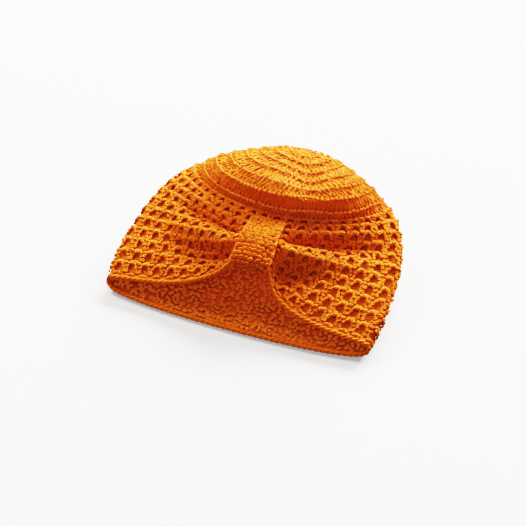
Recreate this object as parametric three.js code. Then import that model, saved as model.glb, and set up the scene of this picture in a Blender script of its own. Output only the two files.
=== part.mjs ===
import * as THREE from "three";

// Sizes are in millimetres. Rounds count down the wall, from 0 at the crown centre to LAST_ROUND at the rim.
const LAST_ROUND = 22;
const WALL_THICKNESS = 4;
const HALF_WALL = WALL_THICKNESS / 2;
const REST_CENTRE_Y = 62;
const FLOOR_BLEND = 5;
const SIDE_FOLD_RISE = 17;
const GAP = 0.35;
const EDGING_RADIUS = 1.7;
const EDGING_SIDES = 8;
const EDGING_SETTLE = 2;

// The band that gathers the front.
const BAND_WIDTH = 24;
const BAND_THICKNESS = 3.4;
const BAND_TOP_ROUND = 10;
const BAND_INSIDE_ROUND = 12;
const BAND_REACH = 1.4;
const BAND_SAG = 3;
const BAND_CREST_ROOM = 1.0;
const BAND_VALLEY_ROOM = 2.4;
const BAND_LIFT = 0.4;
const BAND_ROWS_OUTSIDE = 16;
const BAND_ROWS_TURN = 10;
const BAND_ROWS_INSIDE = 10;
const BAND_COLUMNS = 6;

// The band draws the rim up by this many rounds, over this half width.
const RIM_LIFT = 2.8;
const RIM_LIFT_HALF_WIDTH = 15;

// One row for each measured round, with the hat lying on its back: the front ridge line, the two side
// folds and the back line. Y runs from the rim to the crown, Z up. Pinch draws the front to the band,
// drift moves the front ridge and both sides to the right, and sideBend is the radius of the side folds.
const SECTIONS = [
  { round: 0, frontY: 116, frontZ: 62, leftX: 0, rightX: 0, sideY: 116, sideZ: 62, backY: 116, backZ: 62,
    pinchLeft: 0, pinchRight: 0, drift: 8, sideBend: 0 },
  { round: 2, frontY: 101, frontZ: 66, leftX: 20, rightX: 20, sideY: 116, sideZ: 60, backY: 130, backZ: 53,
    pinchLeft: 0, pinchRight: 0, drift: 7, sideBend: 0 },
  { round: 4, frontY: 84, frontZ: 66.5, leftX: 40, rightX: 39, sideY: 115, sideZ: 54, backY: 140, backZ: 37,
    pinchLeft: 0, pinchRight: 0, drift: 6, sideBend: 0 },
  { round: 6, frontY: 66.5, frontZ: 60.5, leftX: 61, rightX: 55, sideY: 115, sideZ: 44, backY: 141, backZ: 17,
    pinchLeft: 0, pinchRight: 0, drift: 5, sideBend: 0 },
  { round: 8, frontY: 62, frontZ: 44, leftX: 78, rightX: 70, sideY: 112, sideZ: 32, backY: 129, backZ: -2,
    pinchLeft: 0.2, pinchRight: 0.3, drift: 4, sideBend: 0 },
  { round: 11, frontY: 46.5, frontZ: 43.5, leftX: 93, rightX: 84, sideY: 93, sideZ: 24, backY: 100, backZ: -4,
    pinchLeft: 1, pinchRight: 1.5, drift: 4, sideBend: 3 },
  { round: 15, frontY: 34, frontZ: 43, leftX: 100, rightX: 92, sideY: 58, sideZ: 19, backY: 61, backZ: -4,
    pinchLeft: 3, pinchRight: 4, drift: 4, sideBend: 3 },
  { round: 19, frontY: 25, frontZ: 40, leftX: 101, rightX: 93, sideY: 24, sideZ: 14, backY: 20, backZ: -3,
    pinchLeft: 7, pinchRight: 10, drift: 4, sideBend: 3 },
  { round: 22, frontY: 19, frontZ: 37, leftX: 99, rightX: 91, sideY: 0, sideZ: 8, backY: -10, backZ: -3.5,
    pinchLeft: 10, pinchRight: 16, drift: 4, sideBend: 3 },
];

// Folds that fan out from the band. Side is -1 on the left; a negative depth is a ridge.
// The round and width of each fold change from the band to the fold's far end.
const FOLDS = [
  { side: -1, roundAtBand: 13.4, roundFar: 12.8, depth: 9, widthAtBand: 1.6, widthFar: 1.3, reach: 62 },
  { side: -1, roundAtBand: 16.8, roundFar: 15.4, depth: -3.5, widthAtBand: 1.5, widthFar: 1.5, reach: 62 },
  { side: -1, roundAtBand: 20.0, roundFar: 17.6, depth: 9, widthAtBand: 1.5, widthFar: 1.3, reach: 58 },
  { side: 1, roundAtBand: 13.2, roundFar: 12.9, depth: 9, widthAtBand: 1.5, widthFar: 1.2, reach: 74 },
  { side: 1, roundAtBand: 15.6, roundFar: 14.9, depth: -4, widthAtBand: 1.4, widthFar: 1.4, reach: 62 },
  { side: 1, roundAtBand: 20.2, roundFar: 17.9, depth: 6, widthAtBand: 1.5, widthFar: 1.4, reach: 36 },
];
const FOLD_DEPTH_UNDER_BAND = 0.12;
const FOLD_SWELL_START = 12;
const FOLD_SWELL_LENGTH = 9;
const FOLD_SIDE_BLEND = 3;
const FOLD_FRONT_FADE = 4;

// The shallow dent in the crown: angle from the front, round, depth, half width and half length in rounds.
const DENT = { angle: 24, round: 4.2, depth: 6, halfWidth: 11, halfRounds: 2.6, roundHeight: 8 };

// How finely the wall is divided.
const CROWN_STEPS = 11;
const SIDE_STEPS = 18;
const ZONES_AROUND = [
  { from: -60, to: -18, steps: 9 },
  { from: -18, to: 18, steps: 12 },
  { from: 18, to: 60, steps: 9 },
  { from: 60, to: 120, steps: 12 },
  { from: 120, to: 240, steps: 14 },
  { from: 240, to: 300, steps: 12 },
];

const RAD = Math.PI / 180;

function smoothStep(t) {
  const s = Math.min(Math.max(t, 0), 1);
  return s * s * (3 - 2 * s);
}

// Monotone cubic through one column of SECTIONS.
function column(name, round) {
  const last = SECTIONS.length - 1;
  const slope = (i) =>
    (SECTIONS[i + 1][name] - SECTIONS[i][name]) / (SECTIONS[i + 1].round - SECTIONS[i].round);
  const tangent = (i) => {
    if (i === 0) return slope(0);
    if (i === last) return slope(last - 1);
    const before = slope(i - 1);
    const after = slope(i);
    if (before * after <= 0) return 0;
    const spanBefore = SECTIONS[i].round - SECTIONS[i - 1].round;
    const spanAfter = SECTIONS[i + 1].round - SECTIONS[i].round;
    const a = 2 * spanAfter + spanBefore;
    const b = spanAfter + 2 * spanBefore;
    return (a + b) / (a / before + b / after);
  };
  let i = 0;
  while (i < last - 1 && round >= SECTIONS[i + 1].round) i += 1;
  const span = SECTIONS[i + 1].round - SECTIONS[i].round;
  const t = (round - SECTIONS[i].round) / span;
  const t2 = t * t;
  const t3 = t2 * t;
  return (2 * t3 - 3 * t2 + 1) * SECTIONS[i][name] + (t3 - 2 * t2 + t) * span * tangent(i)
    + (3 * t2 - 2 * t3) * SECTIONS[i + 1][name] + (t3 - t2) * span * tangent(i + 1);
}

// The back lies flat on the surface, with a soft turn up to the sides.
function layOnFloor(z) {
  const lift = z - HALF_WALL;
  if (lift >= FLOOR_BLEND) return z;
  if (lift <= -FLOOR_BLEND) return HALF_WALL;
  return HALF_WALL + (lift + FLOOR_BLEND) ** 2 / (4 * FLOOR_BLEND);
}

// The round whose place a round takes where the band has drawn the rim up.
function drawnUp(across, facing, round) {
  if (facing <= 0) return round;
  const x = across * column(across < 0 ? "leftX" : "rightX", round);
  const share = smoothStep((round - BAND_TOP_ROUND) / (LAST_ROUND - BAND_TOP_ROUND));
  return round - RIM_LIFT * share * Math.exp(-((x / RIM_LIFT_HALF_WIDTH) ** 4));
}

// Middle of the wall before folds. Angle 0 is the front ridge, 90 degrees the right side fold.
function plainWall(angle, atRound) {
  const across = Math.sin(angle);
  const facing = Math.cos(angle);
  const round = drawnUp(across, facing, atRound);
  const halfWidth = column(across < 0 ? "leftX" : "rightX", round);
  const pinch = column(across < 0 ? "pinchLeft" : "pinchRight", round);
  const sideY = column("sideY", round);
  const sideZ = column("sideZ", round);
  const front = facing >= 0;
  const weight = front ? facing / (1 + pinch * across * across) : -facing;
  const rise = column(front ? "frontZ" : "backZ", round) - sideZ;
  const bend = column("sideBend", round);
  const nose = bend > 0 ? bend * Math.tanh(SIDE_FOLD_RISE * Math.abs(facing) / bend) : 0;
  return new THREE.Vector3(
    halfWidth * across + column("drift", round),
    sideY + (column(front ? "frontY" : "backY", round) - sideY) * weight,
    sideZ + Math.sign(rise) * (nose + (Math.abs(rise) - bend) * weight),
  );
}

// Depth of the folds at a distance to the right of the front ridge.
function foldDepth(x, round) {
  const away = Math.abs(x);
  const swell = FOLD_DEPTH_UNDER_BAND
    + (1 - FOLD_DEPTH_UNDER_BAND) * smoothStep((away - FOLD_SWELL_START) / FOLD_SWELL_LENGTH);
  let depth = 0;
  for (const fold of FOLDS) {
    const beyond = Math.max(away - BAND_WIDTH / 2, 0) / fold.reach;
    const t = Math.min(beyond, 1);
    const centre = fold.roundAtBand + (fold.roundFar - fold.roundAtBand) * t;
    const width = fold.widthAtBand + (fold.widthFar - fold.widthAtBand) * t;
    const fade = 1 - t * t;
    const onSide = 1 / (1 + Math.exp(-fold.side * x / FOLD_SIDE_BLEND));
    depth += fold.depth * swell * fade * onSide * Math.exp(-(((round - centre) / width) ** 2));
  }
  return depth;
}

function dentDepth(angle, round) {
  const turn = angle - DENT.angle * RAD;
  const arc = Math.abs(Math.atan2(Math.sin(turn), Math.cos(turn))) * round * DENT.roundHeight;
  const along = (round - DENT.round) / DENT.halfRounds;
  return DENT.depth * Math.exp(-((arc / DENT.halfWidth) ** 2) - along * along);
}

// Unit directions of a surface at a point: outward, and down the wall to the rim.
function directions(surface, angle, round) {
  const step = 0.02;
  const from = Math.max(round - step, step);
  const to = Math.min(round + step, LAST_ROUND);
  const around = surface(angle + step, round).sub(surface(angle - step, round));
  const down = surface(angle, to).sub(surface(angle, from)).normalize();
  const out = new THREE.Vector3().crossVectors(down, around).normalize();
  return { out, down };
}

function smoothWall(angle, round) {
  const point = plainWall(angle, round);
  point.z = layOnFloor(point.z);
  return point;
}

// Middle of the wall with its folds and dent.
function wall(angle, round) {
  const point = plainWall(angle, round);
  if (round > 0) {
    const { out } = directions(plainWall, angle, round);
    const inFront = smoothStep(Math.cos(angle) * FOLD_FRONT_FADE);
    const folds = inFront * foldDepth(point.x - column("drift", round), round);
    point.addScaledVector(out, -folds - dentDepth(angle, round));
  }
  point.z = layOnFloor(point.z);
  return point;
}

// Angles around the hat, closer together over the front and at the side folds than at the back.
function anglesAround() {
  const angles = [];
  for (const zone of ZONES_AROUND) {
    for (let i = 0; i < zone.steps; i += 1) {
      angles.push((zone.from + (zone.to - zone.from) * i / zone.steps) * RAD);
    }
  }
  return angles;
}

// Rounds down the wall, closer together where the folds are.
function roundsDown() {
  const rounds = [];
  for (let i = 1; i < CROWN_STEPS; i += 1) rounds.push(BAND_TOP_ROUND * i / CROWN_STEPS);
  for (let i = 0; i <= SIDE_STEPS; i += 1) {
    rounds.push(BAND_TOP_ROUND + (LAST_ROUND - BAND_TOP_ROUND) * i / SIDE_STEPS);
  }
  return rounds;
}

function meshOf(name, points, triangles, material) {
  const geometry = new THREE.BufferGeometry();
  geometry.setAttribute("position", new THREE.Float32BufferAttribute(points.flatMap((p) => p.toArray()), 3));
  geometry.setIndex(triangles);
  geometry.computeVertexNormals();
  const mesh = new THREE.Mesh(geometry, material);
  mesh.name = name;
  return mesh;
}

// The cap is one hollow wall: an outer and an inner skin joined along the rim.
function buildCap(material) {
  const angles = anglesAround();
  const rounds = roundsDown();
  const count = angles.length;
  const points = [];
  const triangles = [];
  const crown = wall(0, 0);
  const skins = [];
  for (const offset of [HALF_WALL, -HALF_WALL]) {
    const pole = points.length;
    points.push(crown.clone().add(new THREE.Vector3(0, 0, offset)));
    const start = points.length;
    for (const round of rounds) {
      for (const angle of angles) {
        const point = wall(angle, round).addScaledVector(directions(wall, angle, round).out, offset);
        if (offset > 0) point.z = Math.max(point.z, 0);
        points.push(point);
      }
    }
    skins.push({ pole, start });
  }
  skins.forEach((skin, side) => {
    const add = (a, b, c) => (side === 0 ? triangles.push(a, b, c) : triangles.push(a, c, b));
    for (let j = 0; j < count; j += 1) {
      const next = (j + 1) % count;
      add(skin.pole, skin.start + j, skin.start + next);
      for (let i = 0; i + 1 < rounds.length; i += 1) {
        const upper = skin.start + i * count;
        const lower = upper + count;
        add(upper + j, lower + j, lower + next);
        add(upper + j, lower + next, upper + next);
      }
    }
  });
  const outerRim = skins[0].start + (rounds.length - 1) * count;
  const innerRim = skins[1].start + (rounds.length - 1) * count;
  for (let j = 0; j < count; j += 1) {
    const next = (j + 1) % count;
    triangles.push(outerRim + j, innerRim + j, innerRim + next);
    triangles.push(outerRim + j, innerRim + next, outerRim + next);
  }
  return meshOf("cap", points, triangles, material);
}

// The edging is a round cord just clear of the rim. Along the back it settles onto the surface.
function buildEdging(material) {
  const angles = anglesAround();
  const points = [];
  const triangles = [];
  for (const angle of angles) {
    const { out, down } = directions(wall, angle, LAST_ROUND);
    const centre = wall(angle, LAST_ROUND).addScaledVector(down, EDGING_RADIUS + GAP);
    centre.z -= (HALF_WALL - EDGING_RADIUS) * smoothStep(-Math.cos(angle) * EDGING_SETTLE);
    for (let s = 0; s < EDGING_SIDES; s += 1) {
      const turn = 2 * Math.PI * s / EDGING_SIDES;
      const point = centre.clone()
        .addScaledVector(out, EDGING_RADIUS * Math.cos(turn))
        .addScaledVector(down, EDGING_RADIUS * Math.sin(turn));
      point.z = Math.max(point.z, 0);
      points.push(point);
    }
  }
  for (let j = 0; j < angles.length; j += 1) {
    const here = j * EDGING_SIDES;
    const there = ((j + 1) % angles.length) * EDGING_SIDES;
    for (let s = 0; s < EDGING_SIDES; s += 1) {
      const t = (s + 1) % EDGING_SIDES;
      triangles.push(here + s, here + t, there + t);
      triangles.push(here + s, there + t, there + s);
    }
  }
  return meshOf("rim_edging", points, triangles, material);
}

// Stations along the band: over the front, round the rim and back inside. Past is beyond the rim.
function bandStations() {
  const seat = HALF_WALL + GAP + BAND_THICKNESS / 2;
  const over = seat + BAND_CREST_ROOM;
  const under = -seat - BAND_VALLEY_ROOM;
  const middle = (over + under) / 2;
  const radius = (over - under) / 2;
  const stations = [];
  for (let i = 0; i < BAND_ROWS_OUTSIDE; i += 1) {
    const t = i / BAND_ROWS_OUTSIDE;
    const height = seat + BAND_CREST_ROOM * smoothStep(t / BAND_LIFT);
    stations.push({ round: BAND_TOP_ROUND + (LAST_ROUND - BAND_TOP_ROUND) * t, past: 0, height });
  }
  for (let i = 0; i <= BAND_ROWS_TURN; i += 1) {
    const turn = Math.PI * i / BAND_ROWS_TURN;
    const past = BAND_REACH + radius * Math.sin(turn);
    stations.push({ round: LAST_ROUND, past, height: middle + radius * Math.cos(turn) });
  }
  for (let i = 1; i <= BAND_ROWS_INSIDE; i += 1) {
    const t = i / BAND_ROWS_INSIDE;
    stations.push({ round: LAST_ROUND + (BAND_INSIDE_ROUND - LAST_ROUND) * t, past: 0, height: under });
  }
  return stations;
}

// A point of the band's middle surface. Past the rim the band hangs a little lower at its centre line.
function bandPoint(station, x) {
  const angle = Math.asin(x / column(x < 0 ? "leftX" : "rightX", station.round));
  const { out, down } = directions(smoothWall, angle, station.round);
  const sag = station.past > 0 ? BAND_SAG * (1 - (2 * x / BAND_WIDTH) ** 2) : 0;
  return smoothWall(angle, station.round)
    .addScaledVector(out, station.height)
    .addScaledVector(down, station.past + sag);
}

// The band is one strip of even thickness that follows the stations.
function buildBand(material) {
  const stations = bandStations();
  const grid = stations.map((station) => {
    const line = [];
    for (let i = 0; i <= BAND_COLUMNS; i += 1) {
      line.push(bandPoint(station, BAND_WIDTH * (i / BAND_COLUMNS - 0.5)));
    }
    return line;
  });
  const points = [];
  const triangles = [];
  const last = stations.length - 1;
  const perSkin = BAND_COLUMNS + 1;
  for (const offset of [BAND_THICKNESS / 2, -BAND_THICKNESS / 2]) {
    for (let j = 0; j <= last; j += 1) {
      for (let i = 0; i < perSkin; i += 1) {
        const along = grid[Math.min(j + 1, last)][i].clone().sub(grid[Math.max(j - 1, 0)][i]);
        const across = grid[j][Math.min(i + 1, BAND_COLUMNS)].clone().sub(grid[j][Math.max(i - 1, 0)]);
        const out = new THREE.Vector3().crossVectors(along, across).normalize();
        points.push(grid[j][i].clone().addScaledVector(out, offset));
      }
    }
  }
  const top = (j, i) => j * perSkin + i;
  const bottom = (j, i) => (last + 1) * perSkin + top(j, i);
  const quad = (a, b, c, d) => triangles.push(a, b, c, a, c, d);
  for (let j = 0; j < last; j += 1) {
    for (let i = 0; i < BAND_COLUMNS; i += 1) {
      quad(top(j, i), top(j + 1, i), top(j + 1, i + 1), top(j, i + 1));
      quad(bottom(j, i), bottom(j, i + 1), bottom(j + 1, i + 1), bottom(j + 1, i));
    }
    quad(top(j, 0), bottom(j, 0), bottom(j + 1, 0), top(j + 1, 0));
    quad(top(j, BAND_COLUMNS), top(j + 1, BAND_COLUMNS), bottom(j + 1, BAND_COLUMNS), bottom(j, BAND_COLUMNS));
  }
  for (let i = 0; i < BAND_COLUMNS; i += 1) {
    quad(top(0, i), top(0, i + 1), bottom(0, i + 1), bottom(0, i));
    quad(top(last, i), bottom(last, i), bottom(last, i + 1), top(last, i + 1));
  }
  return meshOf("front_band", points, triangles, material);
}

const yarn = new THREE.MeshStandardMaterial({ color: 0xe88a1e, roughness: 0.9 });
yarn.name = "orange_yarn";
const hat = new THREE.Group();
hat.name = "crochet_turban_hat";
for (const piece of [buildCap(yarn), buildEdging(yarn), buildBand(yarn)]) {
  piece.geometry.translate(0, -REST_CENTRE_Y, 0);
  hat.add(piece);
}

export default hat;
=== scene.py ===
# Crochet turban hat: its yarn, laid stitch by stitch along the wall that the solids have.
import math

import bpy
import numpy as np
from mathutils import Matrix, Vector


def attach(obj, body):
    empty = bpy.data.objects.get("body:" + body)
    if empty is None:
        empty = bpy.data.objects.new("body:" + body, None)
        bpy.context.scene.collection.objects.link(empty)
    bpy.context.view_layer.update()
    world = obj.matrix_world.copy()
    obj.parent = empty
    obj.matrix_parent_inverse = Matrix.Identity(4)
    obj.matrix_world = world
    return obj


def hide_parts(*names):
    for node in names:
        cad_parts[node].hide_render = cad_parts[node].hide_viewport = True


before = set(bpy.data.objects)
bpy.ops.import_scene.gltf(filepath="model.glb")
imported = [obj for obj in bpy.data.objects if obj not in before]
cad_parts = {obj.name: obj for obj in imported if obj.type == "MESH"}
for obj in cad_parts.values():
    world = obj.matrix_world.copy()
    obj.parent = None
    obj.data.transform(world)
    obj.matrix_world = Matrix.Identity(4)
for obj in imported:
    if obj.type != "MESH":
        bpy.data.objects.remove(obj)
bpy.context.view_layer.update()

# Sizes are in millimetres until a mesh is written. Rounds count down the wall, from 0 at the crown
# centre to LAST_ROUND at the rim.
MM = 0.001
LAST_ROUND = 22
CROWN_ROUNDS = 8
ROUND_HEIGHT = 8.4
HALF_WALL = 2.0
REST_CENTRE_Y = 62.0
FLOOR_BLEND = 5.0
SIDE_FOLD_RISE = 17.0
GAP = 0.35
EDGING_RADIUS = 1.7
SEED = 12

# The ground: the plain outer and inner face of the wall, behind the raised yarn. Heights are out from the
# middle of the wall.
GROUND_COLUMNS = 336
GROUND_CROWN_LEVELS = 40
GROUND_SIDE_LEVELS = 90
GROUND_FIRST_ROUND = 0.15
GROUND_PAST_RIM = 0.12
GROUND_BLEND = 3
GROUND_HEIGHT_CROWN = 0.55
GROUND_HEIGHT_SIDES = 0.75
GROUND_YARN_WIDTH = 9
PIT_DEPTH = 1.35
INNER_FACE_COLUMNS = 200
INNER_FACE_LEVELS = 80
INNER_FACE_HEIGHT = -0.7

# The slanting posts of the crown, in one tier for each lift. Starts and lengths are in rounds, staggers and
# slants in stitches.
CROWN_STITCHES_PER_ROUND = 16
CROWN_PLACE_WOBBLE = 0.05
POST_LIFT = (-0.3, -0.2, 0.0)
POST_TIERS = len(POST_LIFT)
POST_FIRST_ROUND = 0.12
POST_START = -1.04
POST_LENGTH = 0.4
POST_STAGGER = 0.5
POST_SLANT = 0.3
POST_SLANT_WOBBLE = 0.1
POST_PLIES = 2
POST_STEPS = 5
POST_RADIUS = 0.68
POST_SIZE_WOBBLE = 0.05
POST_SPREAD = 0.66
POST_TWIST = 0.3
POST_PHASE_WOBBLE = 0.5
POST_BULGE = 0.35
POST_PLACE_WOBBLE = 0.2

# Knots are short loops of yarn that lie on the wall. A knot's shape is its half length, half width, yarn
# radius and height.
KNOT_STEPS = 8
KNOT_SIDES = 5
KNOT_CURL = 0.3
KNOT_LEAN_WOBBLE = 0.2
KNOT_SIZE_WOBBLE = 0.08
KNOT_PLACE_WOBBLE = 0.22

# The ridge that ends each round of the crown.
RIDGE_KNOT = (0.95, 0.4, 0.66, 1.6)
RIDGE_TILT = 0.35
RIDGE_ROUGHNESS = 0.15

# The textured rows of the sides, and the knots of one repeat of a row: place across and down the repeat,
# half length, half width, yarn radius, height and tilt.
SIDE_ROWS = 11
SIDE_REPEATS = 42
SIDE_PIECES = ((1, 3), (4, 6), (7, 9), (10, SIDE_ROWS))
SIDE_PLACE_WOBBLE = 0.025
SIDE_ROUGHNESS = 0.22
SIDE_KNOTS = (
    (0.00, 0.02, 1.0, 0.64, 0.74, 1.9, 0.0),
    (-0.16, 0.09, 1.1, 0.62, 0.72, 1.75, -0.7),
    (0.16, 0.09, 1.1, 0.62, 0.72, 1.75, 0.7),
    (-0.31, 0.34, 1.1, 0.62, 0.70, 1.5, -1.2),
    (0.31, 0.34, 1.1, 0.62, 0.70, 1.5, 1.2),
    (-0.38, 0.66, 1.2, 0.62, 0.70, 1.2, -1.45),
    (0.38, 0.66, 1.2, 0.62, 0.70, 1.2, 1.45),
    (-0.14, 0.90, 1.1, 0.55, 0.68, 1.0, -0.4),
    (0.14, 0.90, 1.1, 0.55, 0.68, 1.0, 0.4),
    (0.50, 0.02, 1.2, 0.62, 0.74, 1.75, 0.0),
    (0.50, 0.30, 0.9, 0.55, 0.68, 1.0, 1.57),
    (0.08, 0.60, 1.2, 0.50, 0.66, -0.7, 0.5),
)

# The loops of the inside. The rows that show through the opening have more of them.
INSIDE_KNOT = (1.1, 0.45, 0.68, -1.5)
INSIDE_ROUGHNESS = 0.45
INSIDE_STEPS = 7
INSIDE_SIDES = 4
INSIDE_ROWS_SEEN = 5
INSIDE_LEVELS_SEEN = 4
INSIDE_LOOPS_SEEN = 130
INSIDE_LOOPS_HIDDEN = 60

# The rope along the rim.
RIM_STRANDS = 3
RIM_TURNS = 36
RIM_STEPS_PER_TURN = 12
RIM_SIDES = 6
RIM_SPREAD = 0.95
RIM_YARN_RADIUS = 0.86

# The band that gathers the front. Its stations are counted over the front, round the rim and inside.
BAND_WIDTH = 24.0
BAND_THICKNESS = 3.4
BAND_TOP_ROUND = 10.0
BAND_INSIDE_ROUND = 12.0
BAND_REACH = 1.4
BAND_SAG = 3.0
BAND_CREST_ROOM = 1.0
BAND_VALLEY_ROOM = 2.4
BAND_LIFT = 0.4
BAND_STATIONS = (60, 40, 50)
RIM_LIFT = 2.8
RIM_LIFT_HALF_WIDTH = 15.0

# The band's stitches: a loop over two legs for each, and a cord along each edge. Loop half width, stagger,
# leg gap and leg spread are shares of a stitch, leg start and leg length shares of a row.
BAND_STITCHES = 8
BAND_STITCH_WIDTH = BAND_WIDTH / BAND_STITCHES
BAND_ROW_HEIGHT = 3.1
BAND_STAGGER = 0.2
BAND_PLACE_WOBBLE = 0.25
BAND_YARN_RADIUS = 0.7
BAND_YARN_LIMIT = BAND_WIDTH / 2 - BAND_YARN_RADIUS
BAND_SIZE_WOBBLE = 0.08
BAND_LOOP_STEPS = 12
BAND_LOOP_HALF_WIDTH = 0.42
BAND_LOOP_HALF_HEIGHT = 0.6
BAND_LOOP_SLANT = 0.45
BAND_SLANT_WOBBLE = 0.5
BAND_LOOP_HEIGHT = 0.7
BAND_LOOP_TIP = 0.3
BAND_LOOP_CURL = 0.35
BAND_HEIGHT_WOBBLE = 0.2
BAND_LEG_STEPS = 5
BAND_LEG_RADIUS = 0.85
BAND_LEG_START = 0.62
BAND_LEG_LENGTH = 1.2
BAND_LEG_GAP = 0.08
BAND_LEG_SPREAD = 0.28
BAND_LEG_HEIGHT = -0.7
BAND_LEG_BULGE = 0.35
BAND_EDGE_STEPS_PER_ROW = 6
BAND_EDGE_SIDES = 6
BAND_EDGE_RADIUS = 1.0
BAND_EDGE_INSET = 0.1
BAND_EDGE_WAVE = 0.15
BAND_EDGE_HEIGHT = 0.1
BAND_EDGE_RISE = 0.25

# The yarn's material. Its colour holds painted shade. Shades are places on the colour ramp and their
# colours, from painted shade, where other yarn lies close, to open yarn.
# Tones are each yarn's painted shade, how much redder and darker it is (below zero it is painted light,
# lighter), and its glow: painted light, which stands in for light through the yarn. Reaches are in metres,
# a ply's turn in millimetres.
YARN_SURFACE = {
    "Roughness": 0.72,
    "Specular IOR Level": 0.06,
    "Specular Tint": (1.0, 0.55, 0.15, 1),
    "Sheen Weight": 0.08,
    "Sheen Roughness": 0.45,
    "Sheen Tint": (1.0, 0.5, 0.12, 1),
    "Emission Strength": 1.0,
}
YARN_PAINTED_SHADES = (
    (0.12, (0.28, 0.060, 0.026, 1)),
    (0.45, (0.62, 0.142, 0.036, 1)),
    (0.80, (0.95, 0.190, 0.020, 1)),
)
# Painted shade and painted light for each yarn: the ground is painted darker, the ridges and the inside
# lighter, and every yarn glows a little though it is no lamp.
YARN_PAINTED_SHADE_AND_GLOW = {
    "orange_yarn_cotton": (0.0, (0.062, 0.018, 0.008)),
    "orange_yarn_painted_shade": (0.35, (0.055, 0.016, 0.006)),
    "orange_yarn_ridge_painted_light": (-0.3, (0.22, 0.066, 0.026)),
    "orange_yarn_inside_painted_light": (-0.6, (0.145, 0.056, 0.020)),
}
PATCH_SCALE = 160
PATCH_DETAIL = 3
PATCH_LOW = 0.3
PATCH_HIGH = 0.7
PATCH_SHADE = 0.12
# Painted shade: yarn with other yarn within a strand's reach, or within a fold valley's reach, is coloured
# darker and redder.
OCCLUSION_SAMPLES = 6
STRAND_REACH = 0.005
STRAND_PAINTED_SHADE = 0.7
VALLEY_REACH = 0.022
VALLEY_PAINTED_SHADE = 0.7
# Painted shade between the plies: the colour is darker along the grooves of the twist.
PLIES = 3
PLY_TURN = 1.1
PLY_PAINTED_SHADE = 0.1
PLY_BUMP = {"Strength": 0.7, "Distance": 0.0003}

# The floor, in metres. The camera sees it as white paper, and it throws little light back on the hat.
FLOOR_HALF = 14.0
FLOOR_DROP = 0.0002
FLOOR_SURFACE = {"Roughness": 0.9, "Specular IOR Level": 0.1, "Emission Color": (1, 1, 1, 1)}
FLOOR_PAPER_SEEN = 0.90
FLOOR_PAPER = 0.06
FLOOR_GLOW_SEEN = 0.15

# The sky, which the camera sees as white and which lights the hat only a little. Then the lights: name,
# place in metres, width, height, watts and colour.
SKY_COLOUR = (1.0, 0.99, 0.97, 1)
SKY_SEEN = 3.0
SKY_LIGHT = 0.04
DAYLIGHT = (1.0, 0.97, 0.92)
ROOM_LIGHT = (1.0, 0.95, 0.90)
LIGHTS = (
    ("window_key", (0.2, 1.7, 1.0), 2.0, 0.7, 300.0, DAYLIGHT),
    ("window_left", (-1.2, 0.7, 1.3), 0.6, 0.6, 45.0, DAYLIGHT),
    ("sky_fill", (-0.2, 0.3, 1.7), 0.5, 0.5, 2.0, ROOM_LIGHT),
    ("left_fill", (-1.1, -0.8, 0.7), 0.4, 0.4, 2.0, ROOM_LIGHT),
    ("front_fill", (0.1, -0.9, 0.9), 0.4, 0.4, 3.0, ROOM_LIGHT),
)

# The camera of the photograph. Its near limit is in metres.
IMAGE_SIZE = 526
SENSOR_WIDTH = 36.0
CAMERA_AZIMUTH = 20.5
CAMERA_ELEVATION = 42.0
CAMERA_DISTANCE = 800.0
CAMERA_FOCAL_PIXELS = 1130.0
CAMERA_AIM = (1.3, 49.6, 9.7)
CAMERA_NEAR = 0.01
EXPOSURE = -0.1

# Sections of the wall, from the crown centre to the rim.
SECTION_COLUMNS = ("round", "front_y", "front_z", "left_x", "right_x", "side_y", "side_z",
                   "back_y", "back_z", "pinch_left", "pinch_right", "drift", "side_bend")
SECTIONS = np.array([
    (0, 116, 62, 0, 0, 116, 62, 116, 62, 0, 0, 8, 0),
    (2, 101, 66, 20, 20, 116, 60, 130, 53, 0, 0, 7, 0),
    (4, 84, 66.5, 40, 39, 115, 54, 140, 37, 0, 0, 6, 0),
    (6, 66.5, 60.5, 61, 55, 115, 44, 141, 17, 0, 0, 5, 0),
    (8, 62, 44, 78, 70, 112, 32, 129, -2, 0.2, 0.3, 4, 0),
    (11, 46.5, 43.5, 93, 84, 93, 24, 100, -4, 1, 1.5, 4, 3),
    (15, 34, 43, 100, 92, 58, 19, 61, -4, 3, 4, 4, 3),
    (19, 25, 40, 101, 93, 24, 14, 20, -3, 7, 10, 4, 3),
    (22, 19, 37, 99, 91, 0, 8, -10, -3.5, 10, 16, 4, 3),
], dtype=float)

# Folds beside the band: side, round at the band, round at the far end, depth, width at the band, width at
# the far end, reach.
FOLDS = (
    (-1, 13.4, 12.8, 9.0, 1.6, 1.3, 62),
    (-1, 16.8, 15.4, -3.5, 1.5, 1.5, 62),
    (-1, 20.0, 17.6, 9.0, 1.5, 1.3, 58),
    (1, 13.2, 12.9, 9.0, 1.5, 1.2, 74),
    (1, 15.6, 14.9, -4.0, 1.4, 1.4, 62),
    (1, 20.2, 17.9, 6.0, 1.5, 1.4, 36),
)
FOLD_DEPTH_UNDER_BAND = 0.12
FOLD_SWELL_START = 12.0
FOLD_SWELL_LENGTH = 9.0
FOLD_SIDE_BLEND = 3.0
FOLD_FRONT_FADE = 4.0

# The dent in the front of the crown.
DENT_ANGLE = math.radians(24)
DENT_ROUND = 4.2
DENT_DEPTH = 6.0
DENT_HALF_WIDTH = 11.0
DENT_HALF_ROUNDS = 2.6
DENT_ROUND_HEIGHT = 8.0

# Grids and directions. A place in a grid stays LAST_CELL or more below its number of lines. No tube of
# yarn starts along SPARE_DIRECTION. DIRECTION_STEP is in radians and in rounds.
LAST_CELL = 1.001
SPARE_DIRECTION = np.array([0.31, 0.22, 0.93])
DIRECTION_STEP = 0.02


def smooth_step(t):
    """0 to 1 with a level start and end."""
    s = np.clip(t, 0, 1)
    return s * s * (3 - 2 * s)


def unit(v):
    """Vectors of length one."""
    return v / (np.linalg.norm(v, axis=-1, keepdims=True) + 1e-12)


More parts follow.
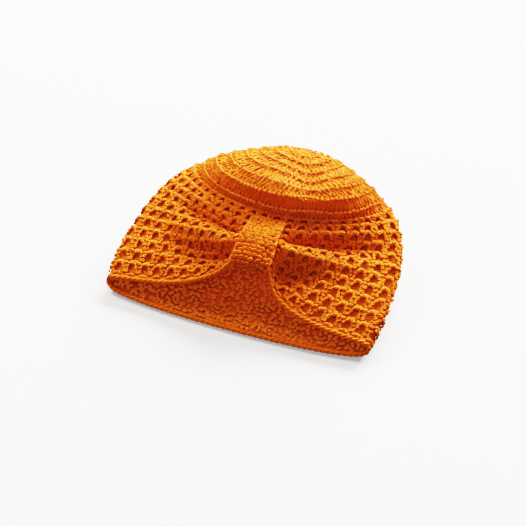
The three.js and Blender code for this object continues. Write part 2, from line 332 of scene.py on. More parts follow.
def monotone_tangents(x, y):
    """Slopes for a cubic through points that never overshoots them."""
    span = np.diff(x)
    slope = np.diff(y) / span
    tangent = np.zeros_like(y)
    tangent[0] = slope[0]
    tangent[-1] = slope[-1]
    for i in range(1, len(x) - 1):
        if slope[i - 1] * slope[i] > 0:
            a = 2 * span[i] + span[i - 1]
            b = span[i] + 2 * span[i - 1]
            tangent[i] = (a + b) / (a / slope[i - 1] + b / slope[i])
    return tangent


SECTION_TANGENTS = {
    name: monotone_tangents(SECTIONS[:, 0], values)
    for name, values in zip(SECTION_COLUMNS[1:], SECTIONS.T[1:])
}


def column(name, rounds):
    """Monotone cubic through one column of SECTIONS."""
    x = SECTIONS[:, 0]
    y = SECTIONS[:, SECTION_COLUMNS.index(name)]
    m = SECTION_TANGENTS[name]
    i = np.clip(np.searchsorted(x, rounds, side="right") - 1, 0, len(x) - 2)
    span = x[i + 1] - x[i]
    t = (rounds - x[i]) / span
    t2 = t * t
    t3 = t2 * t
    return ((2 * t3 - 3 * t2 + 1) * y[i] + (t3 - 2 * t2 + t) * span * m[i]
            + (3 * t2 - 2 * t3) * y[i + 1] + (t3 - t2) * span * m[i + 1])


def lay_on_floor(z):
    """Heights of the middle of the wall, kept above the surface and eased into it."""
    lift = z - HALF_WALL
    blend = HALF_WALL + (lift + FLOOR_BLEND) ** 2 / (4 * FLOOR_BLEND)
    return np.where(lift >= FLOOR_BLEND, z, np.where(lift <= -FLOOR_BLEND, HALF_WALL, blend))


def drawn_up(across, facing, rounds):
    """The round whose place a round takes where the band has drawn the rim up."""
    x = across * np.where(across < 0, column("left_x", rounds), column("right_x", rounds))
    share = smooth_step((rounds - BAND_TOP_ROUND) / (LAST_ROUND - BAND_TOP_ROUND))
    lift = RIM_LIFT * share * np.exp(-((x / RIM_LIFT_HALF_WIDTH) ** 4))
    return np.where(facing > 0, rounds - lift, rounds)


def plain_wall(angle, at_rounds):
    """Middle of the wall before folds. Angle 0 is the front ridge, 90 degrees the right side fold."""
    across = np.sin(angle)
    facing = np.cos(angle)
    rounds = drawn_up(across, facing, at_rounds)
    left = across < 0
    front = facing >= 0
    half_width = np.where(left, column("left_x", rounds), column("right_x", rounds))
    pinch = np.where(left, column("pinch_left", rounds), column("pinch_right", rounds))
    side_y = column("side_y", rounds)
    side_z = column("side_z", rounds)
    weight = np.where(front, facing / (1 + pinch * across * across), -facing)
    rise = np.where(front, column("front_z", rounds), column("back_z", rounds)) - side_z
    bend = column("side_bend", rounds)
    nose = bend * np.tanh(SIDE_FOLD_RISE * np.abs(facing) / np.maximum(bend, 1e-6))
    run = np.where(front, column("front_y", rounds), column("back_y", rounds)) - side_y
    return np.stack([
        half_width * across + column("drift", rounds),
        side_y + run * weight,
        side_z + np.sign(rise) * (nose + (np.abs(rise) - bend) * weight),
    ], axis=-1)


def smooth_wall(angle, rounds):
    """Middle of the wall without folds, laid on the surface."""
    point = plain_wall(angle, rounds)
    point[..., 2] = lay_on_floor(point[..., 2])
    return point


def fold_depth(x, rounds):
    """How deep the folds beside the band are, at a distance from the front ridge."""
    away = np.abs(x)
    swell = FOLD_DEPTH_UNDER_BAND
    swell = swell + (1 - swell) * smooth_step((away - FOLD_SWELL_START) / FOLD_SWELL_LENGTH)
    depth = np.zeros_like(x)
    for side, at_band, far, deep, width_at_band, width_far, reach in FOLDS:
        t = np.minimum(np.maximum(away - BAND_WIDTH / 2, 0) / reach, 1)
        centre = at_band + (far - at_band) * t
        width = width_at_band + (width_far - width_at_band) * t
        on_side = 1 / (1 + np.exp(-side * x / FOLD_SIDE_BLEND))
        depth += deep * swell * (1 - t * t) * on_side * np.exp(-(((rounds - centre) / width) ** 2))
    return depth


def dent_depth(angle, rounds):
    """How deep the dent in the crown is."""
    turn = angle - DENT_ANGLE
    arc = np.abs(np.arctan2(np.sin(turn), np.cos(turn))) * rounds * DENT_ROUND_HEIGHT
    along = (rounds - DENT_ROUND) / DENT_HALF_ROUNDS
    return DENT_DEPTH * np.exp(-((arc / DENT_HALF_WIDTH) ** 2) - along * along)


def directions(surface, angle, rounds):
    """Unit directions of a surface: around it, down to the rim, and outward."""
    step = DIRECTION_STEP
    around = surface(angle + step, rounds) - surface(angle - step, rounds)
    lower = np.minimum(rounds + step, LAST_ROUND)
    down = unit(surface(angle, lower) - surface(angle, np.maximum(rounds - step, step)))
    out = unit(np.cross(down, around))
    return np.cross(out, down), down, out


def wall(angle, rounds):
    """Middle of the wall with its folds and dent."""
    point = plain_wall(angle, rounds)
    out = directions(plain_wall, angle, rounds)[2]
    in_front = smooth_step(np.cos(angle) * FOLD_FRONT_FADE)
    from_ridge = point[..., 0] - column("drift", rounds)
    depth = in_front * fold_depth(from_ridge, rounds) + dent_depth(angle, rounds)
    point = point - out * depth[..., None]
    point[..., 2] = lay_on_floor(point[..., 2])
    return point


class Fabric:
    """The wall on an even grid: share of the way around (0 at the front) by round."""

    SHARES = 1200
    ROUND_STEP = 0.1
    FIRST_ROUND = 0.1

    def __init__(self):
        rounds = np.arange(self.FIRST_ROUND, LAST_ROUND + self.ROUND_STEP / 2, self.ROUND_STEP)
        fine = np.linspace(0, 2 * np.pi, 2 * self.SHARES + 1)
        angle, rnd = np.meshgrid(fine, rounds)
        ring = wall(angle, rnd)
        length = np.linalg.norm(np.diff(ring, axis=1), axis=-1)
        travelled = np.concatenate([np.zeros((len(rounds), 1)), np.cumsum(length, axis=1)], axis=1)
        self.girth = travelled[:, -1]
        shares = np.linspace(0, 1, self.SHARES + 1)
        even = np.stack([np.interp(shares, row / row[-1], fine) for row in travelled])
        rnd = np.repeat(rounds[:, None], self.SHARES + 1, axis=1)
        self.point = wall(even, rnd)
        self.around, self.down, self.out = directions(wall, even, rnd)

    def girth_at(self, rounds):
        """How far it is around the wall."""
        row = (rounds - self.FIRST_ROUND) / self.ROUND_STEP
        return np.interp(row, np.arange(len(self.girth)), self.girth)

    def sample(self, field, share, rounds):
        """A field of the grid between its points."""
        column_at = (share % 1) * self.SHARES
        row_at = np.clip((rounds - self.FIRST_ROUND) / self.ROUND_STEP, 0, len(self.girth) - LAST_CELL)
        j = np.minimum(column_at.astype(int), self.SHARES - 1)
        i = row_at.astype(int)
        s = (column_at - j)[..., None]
        t = (row_at - i)[..., None]
        top = field[i, j] * (1 - s) + field[i, j + 1] * s
        low = field[i + 1, j] * (1 - s) + field[i + 1, j + 1] * s
        return top * (1 - t) + low * t

    def place(self, share, rounds, across, along, height):
        """A point of the wall, moved by millimetres around it, down it and out of it."""
        share, rounds, across, along, height = np.broadcast_arrays(share, rounds, across, along, height)
        past = np.maximum(rounds - LAST_ROUND, 0) * ROUND_HEIGHT
        return (self.sample(self.point, share, rounds)
                + unit(self.sample(self.around, share, rounds)) * across[..., None]
                + unit(self.sample(self.down, share, rounds)) * (along + past)[..., None]
                + unit(self.sample(self.out, share, rounds)) * height[..., None])


class Strands:
    """Collects yarn tubes and writes them as one mesh."""

    def __init__(self):
        self.points = []
        self.faces = []
        self.uvs = []
        self.caps = []
        self.count = 0

    def add(self, paths, radius, sides=5, closed=False):
        """Tubes along paths of (tubes, points, 3) in millimetres, with one radius or one for each tube."""
        tubes, steps, _ = paths.shape
        if closed:
            tangent = np.roll(paths, -1, axis=1) - np.roll(paths, 1, axis=1)
        else:
            tangent = np.gradient(paths, axis=1)
        tangent = unit(tangent)
        start = np.cross(tangent[:, 0], SPARE_DIRECTION)
        side = np.zeros_like(paths)
        side[:, 0] = unit(start)
        for i in range(1, steps):
            carried = side[:, i - 1]
            lean = np.sum(carried * tangent[:, i], axis=-1, keepdims=True)
            side[:, i] = unit(carried - lean * tangent[:, i])
        other = np.cross(tangent, side)
        turn = 2 * np.pi * np.arange(sides) / sides
        thickness = np.broadcast_to(np.asarray(radius, dtype=float), (tubes, steps))[..., None, None]
        ring = paths[:, :, None] + thickness * (
            side[:, :, None] * np.cos(turn)[:, None] + other[:, :, None] * np.sin(turn)[:, None])
        travelled = np.concatenate([
            np.zeros((tubes, 1)),
            np.cumsum(np.linalg.norm(np.diff(paths, axis=1), axis=-1), axis=1)], axis=1)
        spans = steps if closed else steps - 1
        here = np.arange(spans)
        there = (here + 1) % steps
        s = np.arange(sides)
        t = (s + 1) % sides
        tube = (np.arange(tubes) * steps * sides)[:, None, None]
        corner = [
            tube + here[None, :, None] * sides + s,
            tube + here[None, :, None] * sides + t,
            tube + there[None, :, None] * sides + t,
            tube + there[None, :, None] * sides + s,
        ]
        quads = np.stack(np.broadcast_arrays(*corner), axis=-1).reshape(-1, 4)
        self.points.append(ring.reshape(-1, 3))
        self.faces.append(quads + self.count)
        step_length = np.linalg.norm(paths[:, there] - paths[:, here], axis=-1)
        begin = travelled[:, here][..., None] + 0 * s
        end = begin + step_length[..., None]
        left = np.broadcast_to(s / sides, begin.shape)
        right = np.broadcast_to((s + 1) / sides, begin.shape)
        uv = np.stack([
            np.stack([left, begin], -1), np.stack([right, begin], -1),
            np.stack([right, end], -1), np.stack([left, end], -1)], axis=-2)
        self.uvs.append(uv.reshape(-1, 2))
        self.count += tubes * steps * sides
        if not closed:
            self.add_caps(tubes, steps, sides)

    def add_caps(self, tubes, steps, sides):
        """Flat ends for the open tubes that were added last."""
        base = self.count - tubes * steps * sides
        first = base + (np.arange(tubes) * steps * sides)[:, None]
        s = np.arange(sides)
        self.caps.append(first + s[::-1])
        self.caps.append(first + (steps - 1) * sides + s)

    def add_sheet(self, grid, uv):
        """grid is (rows, columns, 3) in millimetres, with a UV for each point."""
        rows, columns, _ = grid.shape
        i, j = np.meshgrid(np.arange(rows - 1), np.arange(columns - 1), indexing="ij")
        first = (i * columns + j).ravel()
        quads = np.stack([first, first + 1, first + columns + 1, first + columns], axis=-1)
        self.points.append(grid.reshape(-1, 3))
        self.faces.append(quads + self.count)
        self.uvs.append(uv.reshape(-1, 2)[quads].reshape(-1, 2))
        self.count += rows * columns

    def mesh(self, name, material):
        """All that was collected, as one object in metres that stays above the surface."""
        points = np.concatenate(self.points)
        points[:, 2] = np.maximum(points[:, 2], 0)
        points[:, 1] -= REST_CENTRE_Y
        points = points * MM
        quads = np.concatenate(self.faces)
        loops = [quads.ravel()] + [c.ravel() for c in self.caps]
        sizes = [np.full(len(quads), 4)] + [np.full(len(c), c.shape[1]) for c in self.caps]
        uv = [np.concatenate(self.uvs)] + [np.zeros((c.size, 2)) for c in self.caps]
        loops = np.concatenate(loops)
        sizes = np.concatenate(sizes)
        data = bpy.data.meshes.new(name)
        data.vertices.add(len(points))
        data.vertices.foreach_set("co", points.ravel())
        data.loops.add(len(loops))
        data.loops.foreach_set("vertex_index", loops)
        data.polygons.add(len(sizes))
        data.polygons.foreach_set("loop_start", np.concatenate([[0], np.cumsum(sizes)[:-1]]))
        data.polygons.foreach_set("loop_total", sizes)
        data.polygons.foreach_set("use_smooth", np.ones(len(sizes), dtype=bool))
        layer = data.uv_layers.new(name="yarn")
        layer.data.foreach_set("uv", np.concatenate(uv).ravel())
        data.update(calc_edges=True)
        data.validate()
        piece = bpy.data.objects.new(name, data)
        bpy.context.scene.collection.objects.link(piece)
        data.materials.append(material)
        return piece


rng = np.random.default_rng(SEED)
fabric = Fabric()


def wobble(shape, size):
    """Random departures either way, of about one size."""
    return rng.normal(0, size, shape)


def sheet_uv(share, rounds):
    """UV of a plain sheet of yarn, with one strand's plies for each GROUND_YARN_WIDTH around it."""
    return np.stack([share * fabric.girth_at(rounds) / GROUND_YARN_WIDTH, rounds * ROUND_HEIGHT], axis=-1)


def make_ground():
    """The close yarn of the fabric behind the raised strands, with the pits of the side rows."""
    strands = Strands()
    down = np.concatenate([
        np.linspace(GROUND_FIRST_ROUND, CROWN_ROUNDS, GROUND_CROWN_LEVELS)[:-1],
        np.linspace(CROWN_ROUNDS, LAST_ROUND + GROUND_PAST_RIM, GROUND_SIDE_LEVELS)])
    share, rounds = np.meshgrid(np.linspace(0, 1, GROUND_COLUMNS + 1), down)
    row = (rounds - CROWN_ROUNDS) / (LAST_ROUND - CROWN_ROUNDS) * SIDE_ROWS
    repeat = share * SIDE_REPEATS - 0.5
    pit = np.cos(np.pi * repeat) ** 2 * np.sin(np.pi * row) ** 2
    sides = GROUND_HEIGHT_SIDES - PIT_DEPTH * np.sqrt(pit)
    blend = smooth_step((rounds - CROWN_ROUNDS) * GROUND_BLEND)
    height = GROUND_HEIGHT_CROWN + (sides - GROUND_HEIGHT_CROWN) * blend
    strands.add_sheet(fabric.place(share, rounds, 0.0, 0.0, height), sheet_uv(share, rounds))
    add_inner_face(strands)
    return strands


def add_inner_face(strands):
    """The close yarn behind the loops of the inside."""
    share, rounds = np.meshgrid(np.linspace(0, 1, INNER_FACE_COLUMNS + 1),
                                np.linspace(GROUND_FIRST_ROUND, LAST_ROUND, INNER_FACE_LEVELS))
    strands.add_sheet(fabric.place(share, rounds, 0.0, 0.0, INNER_FACE_HEIGHT), sheet_uv(share, rounds))


def crown_shares(index):
    """The place of each stitch round one plain round, and their number."""
    count = CROWN_STITCHES_PER_ROUND * index
    return (np.arange(count) + 0.5) / count + wobble(count, CROWN_PLACE_WOBBLE) / count, count


def posts(strands, share_low, share_high, low, lift):
    """One tier of posts: for each, strands twisted round each other on the way down the round."""
    t = np.linspace(0, 1, POST_STEPS)[None, :]
    count = len(share_low)
    share = share_low[:, None] + (share_high - share_low)[:, None] * t
    rounds = low + POST_LENGTH * t + np.zeros((count, 1))
    phase = wobble((count, 1), POST_PHASE_WOBBLE)
    lean = wobble((count, 1), POST_PLACE_WOBBLE)
    height = lift + POST_BULGE * np.sin(np.pi * t) + wobble((count, 1), POST_PLACE_WOBBLE)
    for ply in range(POST_PLIES):
        turn = phase + 2 * np.pi * (ply / POST_PLIES + POST_TWIST * t)
        path = fabric.place(share, np.maximum(rounds, POST_FIRST_ROUND), POST_SPREAD * np.cos(turn) + lean,
                            0.0, POST_SPREAD * np.sin(turn) + height)
        strands.add(path, POST_RADIUS * (1 + wobble((count, 1), POST_SIZE_WOBBLE)))


def crown_posts(strands, index):
    """The slanting posts of one plain round, tier below tier."""
    share, count = crown_shares(index)
    for tier in range(POST_TIERS):
        low = index + POST_START + tier / POST_TIERS
        shift = POST_STAGGER / count * (tier % 2)
        slant = (POST_SLANT + wobble(count, POST_SLANT_WOBBLE)) / count
        posts(strands, share + shift, share + shift + slant, low, POST_LIFT[tier])


def knots(strands, share, rounds, shape, tilt, rough, steps=KNOT_STEPS, sides=KNOT_SIDES):
    """Knots of one shape, each a little out of line with the next. They bend round the wall's folds."""
    half_length, half_width, radius, height = shape
    t = (2 * np.pi * np.arange(steps) / steps)[None, :]
    count = len(share)
    lean = np.reshape(tilt, (-1, 1)) + wobble((count, 1), KNOT_LEAN_WOBBLE)
    size = 1 + wobble((count, 1), KNOT_SIZE_WOBBLE)
    lengthwise = half_length * size * np.cos(t)
    crosswise = half_width * size * np.sin(t)
    across = lengthwise * np.cos(lean) - crosswise * np.sin(lean) + wobble((count, 1), KNOT_PLACE_WOBBLE)
    along = lengthwise * np.sin(lean) + crosswise * np.cos(lean) + wobble((count, 1), KNOT_PLACE_WOBBLE)
    out = height + KNOT_CURL * np.cos(2 * t) + wobble((count, 1), rough)
    level = np.reshape(rounds, (-1, 1))
    path = fabric.place(share[:, None] + across / fabric.girth_at(level), level, 0.0, along, out)
    strands.add(path, radius * size, sides=sides, closed=True)


def crown_ridge(strands, index):
    """The raised loops that end one plain round."""
    share, _ = crown_shares(index)
    knots(strands, share, float(index), RIDGE_KNOT, RIDGE_TILT, RIDGE_ROUGHNESS)


def side_level(row):
    """The round at which a textured row of the sides ends."""
    return CROWN_ROUNDS + (LAST_ROUND - CROWN_ROUNDS) * row / SIDE_ROWS


def side_row(strands, row):
    """One textured row: in each repeat two legs spread from raised knots and leave a pit between them."""
    shift = wobble(SIDE_REPEATS, SIDE_PLACE_WOBBLE) / SIDE_REPEATS
    centre = (np.arange(SIDE_REPEATS) + 0.5) / SIDE_REPEATS + shift
    for across, down, *shape, tilt in SIDE_KNOTS:
        share = centre + across / SIDE_REPEATS
        knots(strands, share, side_level(row - 1 + down), shape, tilt, SIDE_ROUGHNESS)


def inner_grain(strands, row):
    """The uneven inside of a row: short loops that lie in all directions, closest near the rim."""
    seen = row > SIDE_ROWS - INSIDE_ROWS_SEEN
    levels = INSIDE_LEVELS_SEEN if seen else 1
    count = INSIDE_LOOPS_SEEN if seen else INSIDE_LOOPS_HIDDEN
    for level in range(levels):
        share = (np.arange(count) + rng.random(count)) / count
        rounds = side_level(row - (level + rng.random(count)) / levels)
        tilt = rng.random(count) * np.pi
        knots(strands, share, rounds, INSIDE_KNOT, tilt, INSIDE_ROUGHNESS, INSIDE_STEPS, INSIDE_SIDES)


def make_rim():
    """The edging: strands twisted into a rope along the rim."""
    strands = Strands()
    steps = RIM_TURNS * RIM_STEPS_PER_TURN
    t = np.arange(steps) / steps
    rounds = np.full(steps, float(LAST_ROUND))
    for strand in range(RIM_STRANDS):
        turn = 2 * np.pi * (RIM_TURNS * t + strand / RIM_STRANDS)
        past = EDGING_RADIUS + GAP + RIM_SPREAD * np.cos(turn)
        path = fabric.place(t, rounds, 0.0, past, RIM_SPREAD * np.sin(turn))
        strands.add(path[None], RIM_YARN_RADIUS, sides=RIM_SIDES, closed=True)
    return strands


def band_stations():
    """The band's path over the front, round the rim and back inside: round, reach past the rim, height."""
    seat = HALF_WALL + GAP + BAND_THICKNESS / 2
    over = seat + BAND_CREST_ROOM
    under = -seat - BAND_VALLEY_ROOM
    middle = (over + under) / 2
    radius = (over - under) / 2
    outside_count, turn_count, inside_count = BAND_STATIONS
    outside = np.linspace(0, 1, outside_count, endpoint=False)
    turn = np.linspace(0, np.pi, turn_count)
    inside = np.linspace(0, 1, inside_count)[1:]
    rounds = np.concatenate([
        BAND_TOP_ROUND + (LAST_ROUND - BAND_TOP_ROUND) * outside,
        np.full(len(turn), float(LAST_ROUND)),
        LAST_ROUND + (BAND_INSIDE_ROUND - LAST_ROUND) * inside])
    past = np.concatenate([0 * outside, BAND_REACH + radius * np.sin(turn), 0 * inside])
    height = np.concatenate([
        seat + BAND_CREST_ROOM * smooth_step(outside / BAND_LIFT),
        middle + radius * np.cos(turn),
        np.full(len(inside), under)])
    return rounds, past, height


class Band:
    """The band's middle surface on a grid of path by width."""

    COLUMNS = 41

    def __init__(self):
        rounds, past, height = band_stations()
        x = np.linspace(-0.5, 0.5, self.COLUMNS) * BAND_WIDTH
        reach = np.where(x < 0, column("left_x", rounds[:, None]), column("right_x", rounds[:, None]))
        angle = np.arcsin(x[None] / reach)
        grid_rounds = np.repeat(rounds[:, None], self.COLUMNS, axis=1)
        _, down, out = directions(smooth_wall, angle, grid_rounds)
        sag = np.where(past[:, None] > 0, BAND_SAG * (1 - (2 * x[None] / BAND_WIDTH) ** 2), 0)
        self.point = (smooth_wall(angle, grid_rounds) + out * height[:, None, None]
                      + down * (past[:, None] + sag)[..., None])
        along = unit(np.gradient(self.point, axis=0))
        across = unit(np.gradient(self.point, axis=1))
        self.out = unit(np.cross(along, across))
        middle = self.point[:, self.COLUMNS // 2]
        step = np.linalg.norm(np.diff(middle, axis=0), axis=-1)
        self.travelled = np.concatenate([[0], np.cumsum(step)])
        self.length = self.travelled[-1]
        self.rows = int(self.length / BAND_ROW_HEIGHT)

    def place(self, distance, x, height):
        """A point at a distance along the band, across its width and out of it."""
        distance, x, height = np.broadcast_arrays(distance, x, height)
        row = np.interp(distance, self.travelled, np.arange(len(self.travelled)))
        col = np.clip((x / BAND_WIDTH + 0.5) * (self.COLUMNS - 1), 0, self.COLUMNS - LAST_CELL)
        row = np.clip(row, 0, len(self.travelled) - LAST_CELL)
        i = row.astype(int)
        j = col.astype(int)
        s = (row - i)[..., None]
        t = (col - j)[..., None]

        def mix(field):
            low = field[i, j] * (1 - t) + field[i, j + 1] * t
            high = field[i + 1, j] * (1 - t) + field[i + 1, j + 1] * t
            return low * (1 - s) + high * s

        return mix(self.point) + unit(mix(self.out)) * height[..., None]


def make_band():
    """Rows of single crochet across the band, with a cord along each edge."""
    band = Band()
    strands = Strands()
    row, stitch = np.meshgrid(np.arange(band.rows), np.arange(BAND_STITCHES), indexing="ij")
    row = row.reshape(-1, 1)
    stitch = stitch.reshape(-1, 1)
    way = np.where(row % 2 == 0, 1.0, -1.0)
    across = (stitch + 0.5 + BAND_STAGGER * way - BAND_STITCHES / 2) * BAND_STITCH_WIDTH
    x = across + wobble(row.shape, BAND_PLACE_WOBBLE)
    distance = (row + 0.5) * BAND_ROW_HEIGHT + wobble(row.shape, BAND_PLACE_WOBBLE)
    add_band_loops(strands, band, x, distance, way)
    add_band_legs(strands, band, x, distance)
    add_band_edges(strands, band)
    return strands


def add_band_loops(strands, band, x, distance, way):
    """One slanted loop for each stitch, leaning the other way in every second row."""
    t = (2 * np.pi * np.arange(BAND_LOOP_STEPS) / BAND_LOOP_STEPS)[None, :]
    side = BAND_LOOP_HALF_HEIGHT * np.sin(t)
    across = BAND_STITCH_WIDTH * BAND_LOOP_HALF_WIDTH * np.cos(t)
    slant = BAND_LOOP_SLANT * way * np.cos(t) * (1 + wobble(x.shape, BAND_SLANT_WOBBLE))
    height = BAND_LOOP_HEIGHT - BAND_LOOP_TIP * side - BAND_LOOP_CURL * np.cos(2 * t)
    height = height + wobble(x.shape, BAND_HEIGHT_WOBBLE)
    inside = np.clip(x + across, -BAND_YARN_LIMIT, BAND_YARN_LIMIT)
    path = band.place(distance + side + slant, inside, height)
    strands.add(path, BAND_YARN_RADIUS * (1 + wobble(x.shape, BAND_SIZE_WOBBLE)), closed=True)


def add_band_legs(strands, band, x, distance):
    """Two legs under each loop, which spread towards the next row."""
    s = np.linspace(0, 1, BAND_LEG_STEPS)[None, :]
    along = distance - BAND_LEG_START * BAND_ROW_HEIGHT + BAND_LEG_LENGTH * BAND_ROW_HEIGHT * s
    height = BAND_LEG_HEIGHT + BAND_LEG_BULGE * np.sin(np.pi * s)
    for side in (-1, 1):
        across = x + side * BAND_STITCH_WIDTH * (BAND_LEG_GAP + BAND_LEG_SPREAD * s)
        path = band.place(along, np.clip(across, -BAND_YARN_LIMIT, BAND_YARN_LIMIT), height)
        strands.add(path, BAND_LEG_RADIUS)


def add_band_edges(strands, band):
    """A cord along each edge of the band, in and out by turns from row to row."""
    along = np.linspace(0, band.length, BAND_EDGE_STEPS_PER_ROW * band.rows)
    wave = np.cos(np.pi * along / BAND_ROW_HEIGHT)
    for edge in (-1, 1):
        across = edge * (BAND_YARN_LIMIT + BAND_EDGE_WAVE * wave - BAND_EDGE_INSET)
        path = band.place(along, across, BAND_EDGE_HEIGHT + BAND_EDGE_RISE * wave)
        strands.add(path[None], BAND_EDGE_RADIUS, sides=BAND_EDGE_SIDES)


def set_inputs(node, values):
    """Constant values for a node's inputs, by name."""
    for name, value in values.items():
        node.inputs[name].default_value = value


def math_node(tree, operation, *values):
    """A math node's output. Each value is a number or another node's output."""
    node = tree.nodes.new("ShaderNodeMath")
    node.operation = operation
    for socket, value in zip(node.inputs, values):
        if isinstance(value, (int, float)):
            socket.default_value = value
        else:
            tree.links.new(value, socket)
    return node.outputs["Value"]


def openness(tree, reach):
    """How open a point is: less where other yarn lies within reach."""
    node = tree.nodes.new("ShaderNodeAmbientOcclusion")
    node.samples = OCCLUSION_SAMPLES
    node.inputs["Distance"].default_value = reach
    return node.outputs["AO"]


def patches(tree, painted_shade_offset):
    """Soft patches of lighter and darker yarn, shifted darker by the painted shade (lighter, painted light,
    below zero).
    """
    place = tree.nodes.new("ShaderNodeTexCoord")
    noise = tree.nodes.new("ShaderNodeTexNoise")
    set_inputs(noise, {"Scale": PATCH_SCALE, "Detail": PATCH_DETAIL})
    tree.links.new(place.outputs["Object"], noise.inputs["Vector"])
    shade = tree.nodes.new("ShaderNodeMapRange")
    set_inputs(shade, {
        "From Min": PATCH_LOW,
        "From Max": PATCH_HIGH,
        "To Min": -PATCH_SHADE - painted_shade_offset,
        "To Max": PATCH_SHADE - painted_shade_offset,
    })
    tree.links.new(noise.outputs["Fac"], shade.inputs["Value"])
    return shade.outputs["Result"]


def ply_waves(tree):
    """The twist of the plies as a wave around and along each strand."""
    yarn = tree.nodes.new("ShaderNodeUVMap")
    yarn.uv_map = "yarn"
    split = tree.nodes.new("ShaderNodeSeparateXYZ")
    tree.links.new(yarn.outputs["UV"], split.inputs["Vector"])
    around = math_node(tree, "MULTIPLY", split.outputs["X"], PLIES * 2 * math.pi)
    twist = math_node(tree, "MULTIPLY_ADD", split.outputs["Y"], 2 * math.pi / PLY_TURN, around)
    return math_node(tree, "SINE", twist)


def yarn_material(name, painted_shade_offset, glow):
    """Orange cotton with painted shade: darker and redder between other strands, in fold valleys and in the
    ply grooves. Its second argument is painted shade: it makes the yarn darker and redder, and below zero
    lighter, which is painted light. Glow is painted light that stands in for light through the yarn.
    """
    material = bpy.data.materials.new(name)
    material.use_nodes = True
    tree = material.node_tree
    shader = tree.nodes["Principled BSDF"]
    set_inputs(shader, YARN_SURFACE)
    # Painted light: the yarn glows a little, though it is no lamp.
    shader.inputs["Emission Color"].default_value = (*glow, 1)
    shade = patches(tree, painted_shade_offset)
    # Painted shade: darker and redder where other yarn lies within a fold valley's or a strand's reach.
    painted_valley = math_node(tree, "MULTIPLY_ADD", openness(tree, VALLEY_REACH), VALLEY_PAINTED_SHADE, shade)
    depth = math_node(tree, "MULTIPLY_ADD", openness(tree, STRAND_REACH), STRAND_PAINTED_SHADE, painted_valley)
    plies = ply_waves(tree)
    colours = tree.nodes.new("ShaderNodeValToRGB")
    (shaded_at, shaded), (middle_at, middle), (open_at, open_colour) = YARN_PAINTED_SHADES
    ramp = colours.color_ramp.elements
    ramp[0].position = shaded_at
    ramp[0].color = shaded
    ramp[1].position = open_at
    ramp[1].color = open_colour
    ramp.new(middle_at).color = middle
    # Painted shade along the ply grooves.
    tree.links.new(math_node(tree, "MULTIPLY_ADD", plies, PLY_PAINTED_SHADE, depth), colours.inputs["Fac"])
    tree.links.new(colours.outputs["Color"], shader.inputs["Base Color"])
    bump = tree.nodes.new("ShaderNodeBump")
    set_inputs(bump, PLY_BUMP)
    tree.links.new(plies, bump.inputs["Height"])
    tree.links.new(bump.outputs["Normal"], shader.inputs["Normal"])
    return material


def floor_material():
    """White paper that the camera sees as overexposed."""
    material = bpy.data.materials.new("white_floor")
    material.use_nodes = True
    tree = material.node_tree
    shader = tree.nodes["Principled BSDF"]
    set_inputs(shader, FLOOR_SURFACE)
    seen = tree.nodes.new("ShaderNodeLightPath").outputs["Is Camera Ray"]
    paper = math_node(tree, "MULTIPLY_ADD", seen, FLOOR_PAPER_SEEN, FLOOR_PAPER)
    tree.links.new(paper, shader.inputs["Base Color"])
    glow = math_node(tree, "MULTIPLY", seen, FLOOR_GLOW_SEEN)
    tree.links.new(glow, shader.inputs["Emission Strength"])
    return material


def make_floor():
    """The surface that the hat lies on."""
    half = FLOOR_HALF
    data = bpy.data.meshes.new("floor")
    corners = [(-half, -half, 0), (half, -half, 0), (half, half, 0), (-half, half, 0)]
    data.from_pydata(corners, [], [(0, 1, 2, 3)])
    floor = bpy.data.objects.new("floor", data)
    bpy.context.scene.collection.objects.link(floor)
    data.materials.append(floor_material())
    floor.location.z = -FLOOR_DROP


def make_sky():
    """A white world for the camera, which lights the hat only a little."""
    world = bpy.data.worlds.new("studio")
    bpy.context.scene.world = world
    world.use_nodes = True
    tree = world.node_tree
    background = tree.nodes["Background"]
    background.inputs["Color"].default_value = SKY_COLOUR
    seen = tree.nodes.new("ShaderNodeLightPath").outputs["Is Camera Ray"]
    strength = math_node(tree, "MULTIPLY_ADD", seen, SKY_SEEN, SKY_LIGHT)
    tree.links.new(strength, background.inputs["Strength"])


def make_lights():
    """Area lights that face the middle of the hat."""
    for name, place, width, height, power, colour in LIGHTS:
        data = bpy.data.lights.new(name, "AREA")
        data.shape = "RECTANGLE"
        data.size = width
        data.size_y = height
        data.energy = power
        data.color = colour
        light = bpy.data.objects.new(name, data)
        light.location = place
        light.rotation_mode = "QUATERNION"
        light.rotation_quaternion = (-Vector(place)).to_track_quat("-Z", "Y")
        bpy.context.scene.collection.objects.link(light)


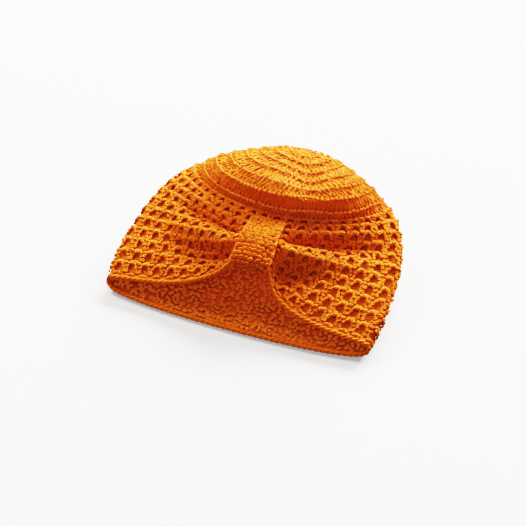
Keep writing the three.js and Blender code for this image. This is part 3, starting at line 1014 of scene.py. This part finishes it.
def make_camera():
    """The photograph's camera, and how bright it shows the hat."""
    azimuth = math.radians(CAMERA_AZIMUTH)
    elevation = math.radians(CAMERA_ELEVATION)
    back = Vector((math.sin(azimuth) * math.cos(elevation), -math.cos(azimuth) * math.cos(elevation),
                   math.sin(elevation)))
    aim = Vector((CAMERA_AIM[0], CAMERA_AIM[1] - REST_CENTRE_Y, CAMERA_AIM[2])) * MM
    data = bpy.data.cameras.new("photo_camera")
    data.sensor_width = SENSOR_WIDTH
    data.lens = SENSOR_WIDTH * CAMERA_FOCAL_PIXELS / IMAGE_SIZE
    data.clip_start = CAMERA_NEAR
    camera = bpy.data.objects.new("photo_camera", data)
    camera.location = aim + back * (CAMERA_DISTANCE * MM)
    camera.rotation_mode = "QUATERNION"
    camera.rotation_quaternion = (-back).to_track_quat("-Z", "Y")
    bpy.context.scene.collection.objects.link(camera)
    bpy.context.scene.camera = camera
    view = bpy.context.scene.view_settings
    view.view_transform = "Filmic"
    view.look = "Very High Contrast"
    view.exposure = EXPOSURE


def add_piece(strands, name, material, node):
    """One piece of the visual model, which stands for a node or for part of it."""
    piece = strands.mesh(name, material)
    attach(piece, "root")
    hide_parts(node)


def add_rounds(name, maker, first, last, material):
    """One piece of the cap, made round by round."""
    strands = Strands()
    for index in range(first, last + 1):
        maker(strands, index)
    add_piece(strands, name, material, "cap")


yarns = {name: yarn_material(name, *tone) for name, tone in YARN_PAINTED_SHADE_AND_GLOW.items()}
yarn = yarns["orange_yarn_cotton"]
# The ground takes a darker, redder copy of the yarn: painted shade for the layer that lies deep.
add_piece(make_ground(), "fabric_ground", yarns["orange_yarn_painted_shade"], "cap")
add_rounds("crown_posts", crown_posts, 1, CROWN_ROUNDS, yarn)
# The ridges take a lighter copy of the yarn that glows more: painted light.
add_rounds("crown_ridges", crown_ridge, 1, CROWN_ROUNDS, yarns["orange_yarn_ridge_painted_light"])
for first_row, last_row in SIDE_PIECES:
    add_rounds(f"side_stitches_{first_row}_to_{last_row}", side_row, first_row, last_row, yarn)
# The inside loops take a lighter copy of the yarn that glows more: painted light.
add_rounds("inside_loops", inner_grain, 1, SIDE_ROWS, yarns["orange_yarn_inside_painted_light"])
add_piece(make_rim(), "rim_rope", yarn, "rim_edging")
add_piece(make_band(), "front_band_stitches", yarn, "front_band")
make_floor()
make_sky()
make_lights()
make_camera()
